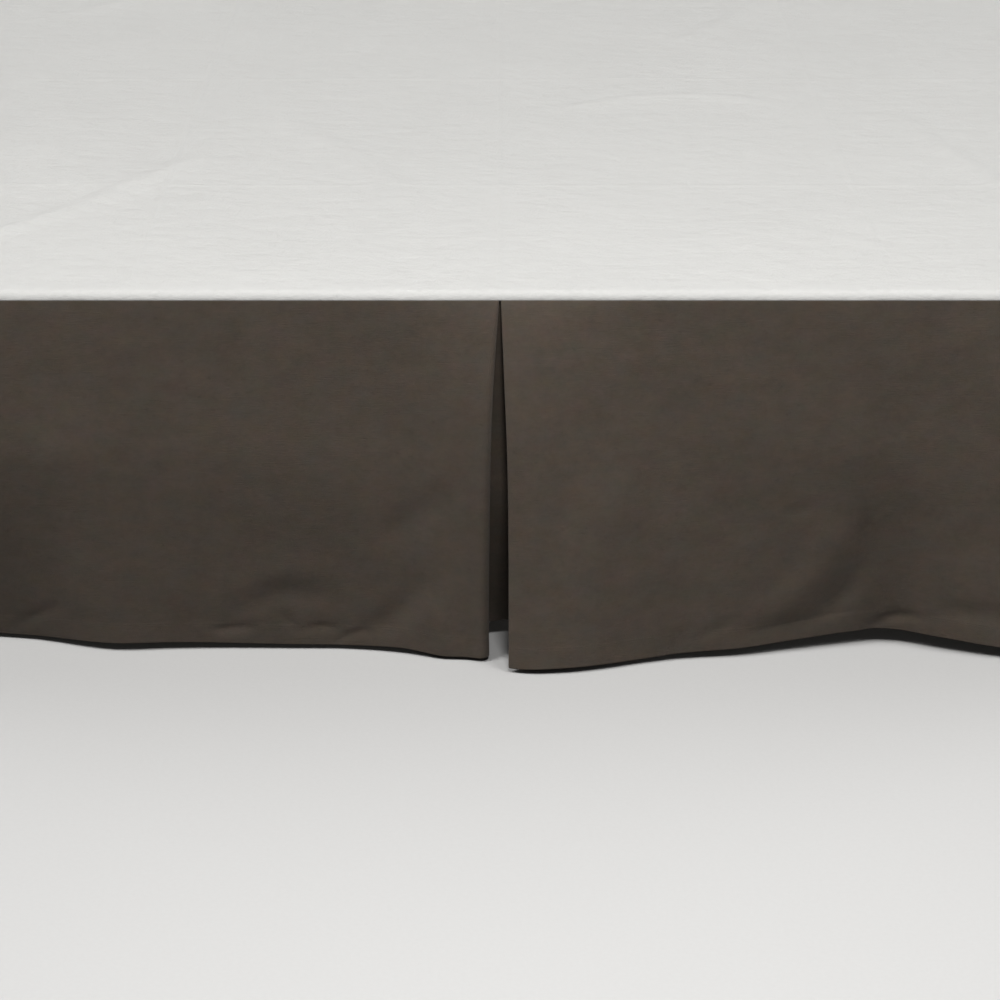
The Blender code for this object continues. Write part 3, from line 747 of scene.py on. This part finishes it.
def build_deck(material):
    half_width = DECK_HIGH.x - DECK_CLOTH / 2 - DECK_EDGE
    foot_y = DECK_LOW.y + DECK_CLOTH / 2 + DECK_EDGE
    head_y = DECK_HIGH.y
    across = deck_stations(-half_width, half_width, PRESSED_ALONG, (True, True))
    along = deck_stations(foot_y, head_y, PRESSED_ACROSS, (True, False))
    flat = np.stack(np.meshgrid(across, along), axis=-1)
    x, y = flat[..., 0], flat[..., 1]
    inner = np.stack([np.clip(x, -half_width, half_width), np.maximum(y, foot_y)], axis=-1)
    beyond = flat - inner
    sideways, drop = edge_profile(np.abs(beyond).max(axis=-1))
    direction = beyond / np.maximum(np.linalg.norm(beyond, axis=-1, keepdims=True), TINY)
    inset = np.minimum(half_width - np.abs(x), y - foot_y)
    hem = BAND_RELIEF * (1 - smooth_step((head_y - y - DECK_HEM) / MM))
    top = BASE_HIGH.z + DECK_REST + deck_relief(flat, inset) + hem - drop
    points = np.concatenate([inner + direction * sideways[..., None], top[..., None]], axis=-1)
    mesh = grid_mesh("skirt_deck_cloth", points, flat)
    piece = new_piece("skirt_deck_cloth", mesh, material, ["skirt_deck"])
    thicken(piece, DECK_CLOTH)


# The box spring, in its ticking with a tape along both edges

BOX_CORNER = 14 * MM
LEAST_CORNER = 2 * MM
CORNER_STEPS = 6
BOX_STEP = 18 * MM
BOX_WAVES = Waves(0.16, 0.0016, 29)
TAPE_RADIUS = 4.5 * MM
TAPE_FLAT = 0.8
TAPE_STEPS = 12
TAPE_INSET = 5.2 * MM
TAPE_UP = 9 * MM
# The border, between the tapes, bulges between its pulled-in edges
BORDER_LOW = BASE_LOW.z + 2 * TAPE_UP
BORDER_HIGH = BASE_HIGH.z - 2 * TAPE_UP
BORDER_INSET = 2.5 * MM
BORDER_PULL = 5.5 * MM
BORDER_POWER = 5
BORDER_ROWS = 15
# Below and above it, in millimetres: how far inside the faces, and how far from the base's underside
# or its top
DUST_COVER = [(100, 2), (14, 2), (10, 4), (9.5, 9)]
TOP_PANEL = [(9.5, 9), (10, 3), (14, 0.6), (100, 0.2)]


def box_path(inset):
    """Points round the box spring, this far inside its faces, with rounded corners."""
    radius = max(BOX_CORNER - inset, LEAST_CORNER)
    reach = np.array(BASE_HIGH.xy) - inset - radius
    steps = [round(span / BOX_STEP) for span in (BASE_HIGH - BASE_LOW).yx]
    bends = []
    for i, signs in enumerate(((1, -1), (1, 1), (-1, 1), (-1, -1))):
        angles = np.linspace(i - 1, i, CORNER_STEPS + 1) * QUARTER
        bends.append(reach * signs + radius * np.column_stack([np.cos(angles), np.sin(angles)]))
    path = []
    for i, bend in enumerate(bends):
        straight = np.linspace(bend[-1], bends[(i + 1) % 4][0], steps[i % 2] + 1)
        path += [bend, straight[1:-1]]
    return np.vstack(path)


def loft_mesh(name, rings, flat=None, caps=(), closed=False):
    """Quads round closed rings of points, one ring after another, and a face over the rings in caps. A
    closed one joins its last ring to its first. Places on the flat cloth become its map."""
    shape = bmesh.new()
    count = len(rings[0])
    made = [[shape.verts.new(point) for point in ring] for ring in rings]
    if closed:
        made.append(made[0])
    cloth_map = shape.loops.layers.uv.new(CLOTH_MAP) if flat else None
    for row, (lower, upper) in enumerate(zip(made, made[1:])):
        for i in range(count):
            j = (i + 1) % count
            face = shape.faces.new((lower[i], lower[j], upper[j], upper[i]))
            if flat:
                spots = ((row, i), (row, i + 1), (row + 1, i + 1), (row + 1, i))
                for loop, (at_row, at) in zip(face.loops, spots):
                    loop[cloth_map].uv = flat[at_row][at]
    for ring in caps:
        face = shape.faces.new(made[ring] if ring == -1 else made[ring][::-1])
        if flat:
            for loop in face.loops:
                loop[cloth_map].uv = loop.vert.co.xy
    return mesh_from(name, shape)


def ring_places(ring, height):
    """Places on the flat cloth round one ring: the distance round it, and a height."""
    round_it = lengths_along(np.vstack([ring, ring[:1]])[:, :2])
    return np.column_stack([round_it, np.full(len(round_it), height)])


def box_profile():
    """The cover's profile as (inset, height) pairs, from the dust cover up to the top panel."""
    profile = [(inset * MM, BASE_LOW.z + up * MM) for inset, up in DUST_COVER]
    for share in np.linspace(0.0, 1.0, BORDER_ROWS):
        pull = BORDER_PULL * abs(2 * share - 1) ** BORDER_POWER
        profile.append((BORDER_INSET + pull, between(BORDER_LOW, BORDER_HIGH, share)))
    return profile + [(inset * MM, BASE_HIGH.z - down * MM) for inset, down in TOP_PANEL]


def build_box_spring(ticking, tape):
    rings, flat = [], []
    profile = box_profile()
    for (inset, height), travelled in zip(profile, lengths_along(np.array(profile))):
        path = box_path(inset)
        places = ring_places(box_path(0.0), travelled)
        if BORDER_LOW < height < BORDER_HIGH:
            outward = path / np.linalg.norm(path, axis=1, keepdims=True)
            slack = waves_at(BOX_WAVES, places[:-1]) - BOX_WAVES.height / 2
            path = path + outward * slack[:, None]
        rings.append([(x, y, height) for x, y in path])
        flat.append(places)
    cover = loft_mesh("box_spring_cover", rings, flat, caps=(0, -1))
    shade(cover)
    piece = new_piece("box_spring_cover", cover, ticking, ["box_spring"])
    for name, height in (("lower", BASE_LOW.z + TAPE_UP), ("upper", BASE_HIGH.z - TAPE_UP)):
        build_tape(f"box_spring_tape_{name}", height, tape)


def build_tape(name, height, material):
    """A sewn edge roll: a slightly flat tube all the way round."""
    rings, flat = [], []
    for angle in np.linspace(-math.pi, math.pi, TAPE_STEPS + 1):
        path = box_path(TAPE_INSET - TAPE_RADIUS * TAPE_FLAT * math.cos(angle))
        up = height + TAPE_RADIUS * math.sin(angle)
        rings.append([(x, y, up) for x, y in path])
        flat.append(ring_places(path, TAPE_RADIUS * (angle + math.pi)))
    mesh = loft_mesh(name, rings[:-1], flat, closed=True)
    shade(mesh)
    new_piece(name, mesh, material)


# The steel frame

RAIL_CORNER = 4 * MM
RAIL_RIM = 0.6 * MM
END_CAP = 3 * MM
LEG_TUBE = 14.8 * MM
LEG_SLEEVE_END = 15.5 * MM  # above the leg's foot
LEG_WELD = 0.3 * MM
LEG_WELD_LOW = 9 * MM  # below the leg's top
LEG_WELD_HIGH = 7 * MM
GLIDE_RIM = 2.6 * MM
LATHE_STEPS = 48
LATHE_SHARP = math.radians(35)
# Turned profiles in millimetres: how far inside the full radius, and how far from the foot or the top
LEG_SLEEVE = [(1, 0), (0, 1), (0, 14), (0.4, 15)]
LEG_COLLAR = [(0.4, 5.5), (0, 4), (0, 0.5), (0.5, 0)]
GLIDE_SHOULDER = [(0, 5.2), (0.5, 4.2), (1.6, 3.6), (2.4, 0.6), (3, 0)]


def size_and_middle(node):
    low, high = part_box(node)
    return high - low, (low + high) / 2


def build_bar(name, size, middle, long_axis, material, replaced=()):
    """A bar with its edges rounded along one axis, and its rims softened."""
    shape = bmesh.new()
    bmesh.ops.create_cube(shape, size=1.0)
    bmesh.ops.scale(shape, verts=shape.verts, vec=size)
    ends = [(edge, [vert.co[long_axis] for vert in edge.verts]) for edge in shape.edges]
    long_edges = [edge for edge, (first, second) in ends if first != second]
    bmesh.ops.bevel(shape, geom=long_edges, offset=RAIL_CORNER, segments=5, profile=0.5, affect="EDGES")
    rims = [edge for edge in shape.edges if edge.calc_face_angle(0.0) > SHARP]
    bmesh.ops.bevel(shape, geom=rims, offset=RAIL_RIM, segments=2, profile=0.5, affect="EDGES")
    mesh = mesh_from(name, shape)
    shade(mesh)
    mesh.transform(Matrix.Translation(middle))
    new_piece(name, mesh, material, replaced)


def build_turned(name, profile, middle, material, node):
    """A turned shape from its (radius, height) profile, given from its foot to its top."""
    angles = [2 * math.pi * i / LATHE_STEPS for i in range(LATHE_STEPS)]
    turns = [(math.cos(angle), math.sin(angle)) for angle in angles]
    rings = []
    for radius, height in profile:
        rings.append([(middle.x + radius * c, middle.y + radius * s, height) for c, s in turns])
    mesh = loft_mesh(name, rings, caps=(0, -1))
    shade(mesh, LATHE_SHARP)
    new_piece(name, mesh, material, [node])


def build_frame(paint, plastic):
    sides = [f"side_rail_{side}" for side in ("left", "right")]
    crosses = [f"cross_rail_{place}" for place in ("foot", "middle", "head")]
    for node in sides + crosses:
        build_rail(node, paint, plastic)
    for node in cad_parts:
        if node.startswith("leg_"):
            build_leg(node, paint)
        elif node.startswith("glide_"):
            build_glide(node, plastic)


def build_rail(node, paint, plastic):
    """A tube, which has a plastic cap in each end if it is a side rail."""
    size, middle = size_and_middle(node)
    if node.startswith("cross"):
        build_bar(f"{node}_bar", size, middle, 0, paint, [node])
        return
    cap = Vector((size.x, END_CAP, size.z))
    for end, sign in (("foot", -1), ("head", 1)):
        place = middle + Vector((0, sign * (size.y - END_CAP) / 2, 0))
        build_bar(f"{node}_cap_{end}", cap, place, 1, plastic)
    size.y -= 2 * END_CAP
    build_bar(f"{node}_bar", size, middle, 1, paint, [node])


def build_leg(node, material):
    """A tube with a crimped sleeve at its foot and a welded collar at its top."""
    size, middle = size_and_middle(node)
    foot, top, radius = middle.z - size.z / 2, middle.z + size.z / 2, size.x / 2
    sleeve = [(radius - inset * MM, foot + up * MM) for inset, up in LEG_SLEEVE]
    tube = [(LEG_TUBE, foot + LEG_SLEEVE_END), (LEG_TUBE, top - LEG_WELD_LOW)]
    weld = [(LEG_TUBE + LEG_WELD, top - LEG_WELD_HIGH)]
    collar = [(radius - inset * MM, top - down * MM) for inset, down in LEG_COLLAR]
    profile = sleeve + tube + weld + collar
    build_turned(f"{node}_tube", profile, middle, material, node)


def build_glide(node, material):
    """A moulded foot: a flat sole, a rounded rim and a step up to the leg."""
    size, middle = size_and_middle(node)
    radius = size.x / 2
    angles = np.linspace(0.0, QUARTER, 6)
    rim = [(radius - GLIDE_RIM * (1 - math.sin(a)), GLIDE_RIM * (1 - math.cos(a))) for a in angles]
    shoulder = [(radius - inset * MM, size.z - down * MM) for inset, down in GLIDE_SHOULDER]
    build_turned(f"{node}_foot", rim + shoulder, middle, material, node)


# Materials

SKIRT_COLOUR = (0.0722, 0.0566, 0.0429)
SKIRT_THREADS = (0.46 * MM, 0.52 * MM)
LINT_OVER = 0.15
SPECKS_OVER = 0.12
DECK_COLOUR = (0.58, 0.575, 0.555)
DECK_THREADS = (0.36 * MM, 0.36 * MM)
TICKING_COLOUR = (0.66, 0.63, 0.57)
TAPE_COLOUR = (0.60, 0.57, 0.52)
STRIPE_OVER = 0.72
PAINT_COLOUR = (0.040, 0.039, 0.040)
PLASTIC_COLOUR = (0.022, 0.022, 0.023, 1.0)
SCUFFED_COLOUR = (0.11, 0.105, 0.10, 1.0)
SCUFFED_UP = 4 * MM
FLOOR_COLOUR = (0.52, 0.515, 0.505)
YARN_WANDER = 6  # pitches
STITCH = 3.0 * MM
STITCH_WIDTH = 0.7 * MM
STITCH_GAP = -0.55


class Finish:
    """A material being made, on the cloth's map or on the object's own places. A call adds nodes, and
    gives the last one's output."""

    def __init__(self, name, on_map=True):
        self.material = bpy.data.materials.new(name)
        self.material.use_nodes = True
        self.tree = self.material.node_tree
        self.shader = self.tree.nodes["Principled BSDF"]
        if on_map:
            self.place = self.add("ShaderNodeUVMap", {}, uv_map=CLOTH_MAP)
        else:
            self.place = self.add("ShaderNodeTexCoord", {}, output="Object")

    def put(self, socket, value):
        if isinstance(value, bpy.types.NodeSocket):
            self.tree.links.new(value, socket)
        else:
            socket.default_value = value

    def add(self, kind, inputs, output=0, **settings):
        node = self.tree.nodes.new(kind)
        for name, value in settings.items():
            setattr(node, name, value)
        for key, value in inputs.items():
            self.put(node.inputs[key], value)
        return node.outputs[output]

    def surface(self, height=None, distance=0.0, **values):
        """Sets the shader, with a bump of the height times the distance, and gives the material."""
        for name, value in values.items():
            self.put(self.shader.inputs[name.replace("_", " ")], value)
        if height is not None:
            bump = self.add("ShaderNodeBump", {"Height": height, "Distance": distance, "Strength": 1.0})
            self.put(self.shader.inputs["Normal"], bump)
        return self.material

    def maths(self, operation, *values):
        return self.add("ShaderNodeMath", dict(enumerate(values)), operation=operation)

    def parts(self):
        split = self.add("ShaderNodeSeparateXYZ", {0: self.place}).node
        return tuple(split.outputs)

    def noise(self, *scale, detail=2.0, roughness=0.5):
        """Noise about 0, with a standard deviation of about 0.1. The scale may differ by axis."""
        by_axis = {0: self.place, 1: (scale * 3)[:3]}
        scaled = self.add("ShaderNodeVectorMath", by_axis, operation="MULTIPLY")
        inputs = {"Vector": scaled, "Scale": 1.0, "Detail": detail, "Roughness": roughness}
        return self.maths("SUBTRACT", self.add("ShaderNodeTexNoise", inputs), 0.5)

    def total(self, start, *terms):
        """The start plus each term's value times its weight."""
        found = start
        for value, weight in terms:
            found = self.maths("MULTIPLY_ADD", value, weight, found)
        return found

    def over(self, value, limit):
        """How far the value is over the limit, or 0."""
        return self.maths("MAXIMUM", self.maths("SUBTRACT", value, limit), 0.0)

    def threads(self, value, pitch):
        return self.maths("SINE", self.maths("MULTIPLY", value, math.pi / pitch))

    def line(self, value, at, width):
        """1 on a line of this width, falling softly to 0 beside it."""
        off = self.maths("DIVIDE", self.maths("ABSOLUTE", self.maths("SUBTRACT", value, at)), width)
        return self.maths("SUBTRACT", 1.0, self.add("ShaderNodeClamp", {0: off}))

    def scaled(self, colour, brightness):
        return self.add("ShaderNodeVectorMath", {0: colour, "Scale": brightness}, operation="SCALE")

    def woven(self, across, up, pitches):
        """The height of a plain weave of uneven yarns, from 0 in its gaps to 1 on its crossings."""
        uneven = self.noise(170)
        warp_pitch, weft_pitch = pitches
        warp = self.maths("MULTIPLY_ADD", uneven, YARN_WANDER * warp_pitch, across)
        weft = self.maths("MULTIPLY_ADD", uneven, -YARN_WANDER * weft_pitch, up)
        warp, weft = self.threads(warp, warp_pitch), self.threads(weft, weft_pitch)
        return self.maths("ABSOLUTE", self.maths("MULTIPLY", warp, weft))

    def stitches(self, across, up, at):
        """Dashes of thread along one line: 1 on a stitch and 0 off it."""
        dash = self.maths("GREATER_THAN", self.threads(across, STITCH), STITCH_GAP)
        return self.maths("MULTIPLY", self.line(up, at, STITCH_WIDTH), dash)


def skirt_cloth():
    """Brushed dark taupe cotton: uneven dye, slubs across, a soft nap, and wear with a painted highlight
    along its edges.
    """
    cloth = Finish("skirt_cloth")
    across, up, _ = cloth.parts()
    slub = cloth.noise(90, 900)
    fuzz = cloth.noise(1800)
    sewn = cloth.stitches(across, up, STITCH_UP)
    brightness = cloth.total(
        1.0,
        (cloth.noise(7, 8.5, detail=5, roughness=0.86), 0.62),
        (cloth.noise(40, 52, detail=3, roughness=0.85), 0.40),
        (cloth.over(cloth.noise(60, 420), LINT_OVER), 0.80),
        (cloth.over(cloth.noise(150, 210), SPECKS_OVER), -0.90),
        (slub, 0.14),
        (cloth.noise(900, 90, detail=1), 0.05),
        (fuzz, 0.06),
        # Wear and a painted highlight: lighter along the front folds, the hem and the ends
        (cloth.add("ShaderNodeAttribute", {}, output="Fac", attribute_name="highlight_and_wear"), 0.05),
        (cloth.maths("LESS_THAN", up, TURN_UP), -0.03),
        (sewn, -0.05),
    )
    red = cloth.total(1.0, (cloth.noise(30, 36, detail=4, roughness=0.8), 0.46))
    blue = cloth.total(1.0, (cloth.noise(34, 40, detail=4, roughness=0.8), 0.42))
    tint = cloth.add("ShaderNodeCombineXYZ", {0: red, 1: 1.0, 2: blue})
    tone = cloth.add("ShaderNodeVectorMath", {0: SKIRT_COLOUR, 1: tint}, operation="MULTIPLY")
    weave = cloth.woven(across, up, SKIRT_THREADS)
    return cloth.surface(
        cloth.total(0.0, (weave, 1.0), (slub, 2.2), (fuzz, 1.4), (sewn, -1.5)),
        0.10 * MM,
        Base_Color=cloth.scaled(tone, brightness),
        Roughness=0.92,
        Specular_IOR_Level=0.25,
        Sheen_Weight=0.10,
        Sheen_Roughness=0.5,
        Sheen_Tint=(1.0, 0.93, 0.86, 1.0),
    )


def deck_cloth():
    """Plain white polycotton with fine threads, a little creased, with painted shade darker in the
    creases' hollows and lighter on their ridges.
    """
    cloth = Finish("deck_cloth")
    across, up, _ = cloth.parts()
    creases_and_painted_shade = cloth.noise(26, 34, detail=4, roughness=0.6)
    slub = cloth.noise(80, 1500)
    # The creases also change the colour: painted shade in their hollows, painted light on their ridges
    brightness = cloth.total(1.0, (cloth.noise(5, detail=3), 0.06), (creases_and_painted_shade, 0.05), (slub, 0.06))
    weave = cloth.woven(across, up, DECK_THREADS)
    return cloth.surface(
        cloth.total(0.0, (weave, 1.0), (slub, 1.5), (creases_and_painted_shade, 40.0)),
        0.08 * MM,
        Base_Color=cloth.scaled(DECK_COLOUR, brightness),
        Roughness=0.85,
        Specular_IOR_Level=0.3,
        Sheen_Weight=0.08,
        Sheen_Roughness=0.4,
    )


def ticking_cloth(name, base, pitch, stripe):
    """Off-white twill with narrow self-coloured stripes that run up the border."""
    cloth = Finish(name)
    across, up, _ = cloth.parts()
    clouds = cloth.noise(6, 8, detail=3)
    slub = cloth.noise(1100, 90)
    twill = cloth.maths("ABSOLUTE", cloth.threads(cloth.maths("ADD", across, up), pitch))
    stripes = cloth.maths("GREATER_THAN", cloth.threads(across, stripe), STRIPE_OVER)
    brightness = cloth.total(1.0, (clouds, 0.14), (slub, 0.16), (twill, 0.04), (stripes, -0.06))
    return cloth.surface(
        cloth.total(0.0, (twill, 1.0), (slub, 1.0), (stripes, 0.8)),
        0.15 * MM,
        Base_Color=cloth.scaled(base, brightness),
        Roughness=0.85,
        Specular_IOR_Level=0.3,
        Sheen_Weight=0.1,
    )


def frame_paint():
    """Powder-coated steel with a fine orange-peel skin and a little dust."""
    paint = Finish("frame_paint", on_map=False)
    peel = paint.noise(700)
    clouds = paint.noise(12, detail=4)
    scuffs = paint.noise(60, 14, 60, detail=5, roughness=0.7)
    brightness = paint.total(1.0, (clouds, 0.5), (scuffs, 0.5), (peel, 0.3))
    return paint.surface(
        peel,
        0.12 * MM,
        Base_Color=paint.scaled(PAINT_COLOUR, brightness),
        Metallic=0.2,
        Roughness=paint.total(0.42, (scuffs, 0.5), (peel, 0.2)),
        Specular_IOR_Level=0.5,
    )


def moulded_plastic():
    """Black nylon with a fine moulded grain, scuffed grey towards the floor."""
    plastic = Finish("glide_plastic", on_map=False)
    _, _, up = plastic.parts()
    grain = plastic.noise(1500)
    scuffs = plastic.noise(160, 160, 400, detail=4, roughness=0.7)
    low = plastic.line(up, 0.0, SCUFFED_UP)
    share = plastic.maths("MULTIPLY", low, plastic.maths("ADD", scuffs, 0.45))
    colours = {0: share, 6: PLASTIC_COLOUR, 7: SCUFFED_COLOUR}
    return plastic.surface(
        grain,
        0.08 * MM,
        Base_Color=plastic.add("ShaderNodeMix", colours, output=2, data_type="RGBA"),
        Roughness=plastic.total(0.5, (grain, 0.5), (scuffs, 0.5)),
    )


def pale_floor():
    floor = Finish("pale_floor", on_map=False)
    brightness = floor.total(1.0, (floor.noise(0.8, detail=3), 0.04), (floor.noise(220), 0.05))
    return floor.surface(Base_Color=floor.scaled(FLOOR_COLOUR, brightness), Roughness=0.8)


# The studio: soft suns, each with its bearing from straight in front of the foot (left is negative)

Sun = namedtuple("Sun", "name bearing up strength width")
FLOOR_RADIUS = 150.0
SUNS = [
    Sun("left_front", -55, 50, 1.78, 24),
    Sun("right_front", 46, 50, 1.17, 26),
    Sun("left_back", -112, 21, 0.75, 40),
    Sun("right_back", 112, 21, 1.20, 40),
]
SUN_DISTANCE = 5.0
KEY_AIM = Vector((0.0, -1.02, 0.15))
KEY_BEARING = 5
KEY_UP = 50
KEY_DISTANCE = 2.1
KEY_SIZE = 0.36
KEY_POWER = 21.0
SKY_COLOUR = (0.95, 0.96, 1.0, 1.0)
AMBIENT = 0.09


def toward(bearing, up):
    """The direction towards a light, from its bearing and its height above the horizon, in degrees."""
    across, over = math.radians(bearing), math.radians(up)
    level = math.cos(over)
    return Vector((level * math.sin(across), -level * math.cos(across), math.sin(over)))


def build_studio():
    shape = bmesh.new()
    bmesh.ops.create_circle(shape, cap_ends=True, radius=FLOOR_RADIUS, segments=96)
    floor = add_object("floor", mesh_from("floor", shape))
    floor.data.materials.append(pale_floor())
    floor.visible_diffuse = False
    for sun in SUNS:
        light = bpy.data.lights.new(sun.name, "SUN")
        light.energy = sun.strength
        light.angle = math.radians(sun.width)
        add_object(sun.name, light, toward(sun.bearing, sun.up) * SUN_DISTANCE, Vector())
    key = bpy.data.lights.new("key", "AREA")
    key.shape = "DISK"
    key.size = KEY_SIZE
    key.energy = KEY_POWER
    lamp = add_object("key", key, KEY_AIM + toward(KEY_BEARING, KEY_UP) * KEY_DISTANCE, KEY_AIM)
    lamp.visible_camera = False
    world = bpy.data.worlds.new("studio")
    world.use_nodes = True
    background = world.node_tree.nodes["Background"]
    background.inputs["Color"].default_value = SKY_COLOUR
    background.inputs["Strength"].default_value = AMBIENT
    bpy.context.scene.world = world
    bpy.context.scene.view_settings.view_transform = "Standard"


def build_camera():
    camera = bpy.data.cameras.new("camera")
    camera.lens = LENS
    camera.sensor_width = SENSOR
    camera.clip_end = 3 * FLOOR_RADIUS
    place = VIEW_TARGET + toward(0.0, VIEW_DOWN) * VIEW_DISTANCE
    bpy.context.scene.camera = add_object("camera", camera, place, VIEW_TARGET)


def main():
    build_camera()
    build_studio()
    skirt = skirt_cloth()
    build_box_spring(
        ticking_cloth("ticking", TICKING_COLOUR, pitch=0.9 * MM, stripe=14 * MM),
        ticking_cloth("ticking_tape", TAPE_COLOUR, pitch=0.7 * MM, stripe=3 * MM),
    )
    build_deck(deck_cloth())
    build_drops(skirt)
    build_frame(frame_paint(), moulded_plastic())


main()
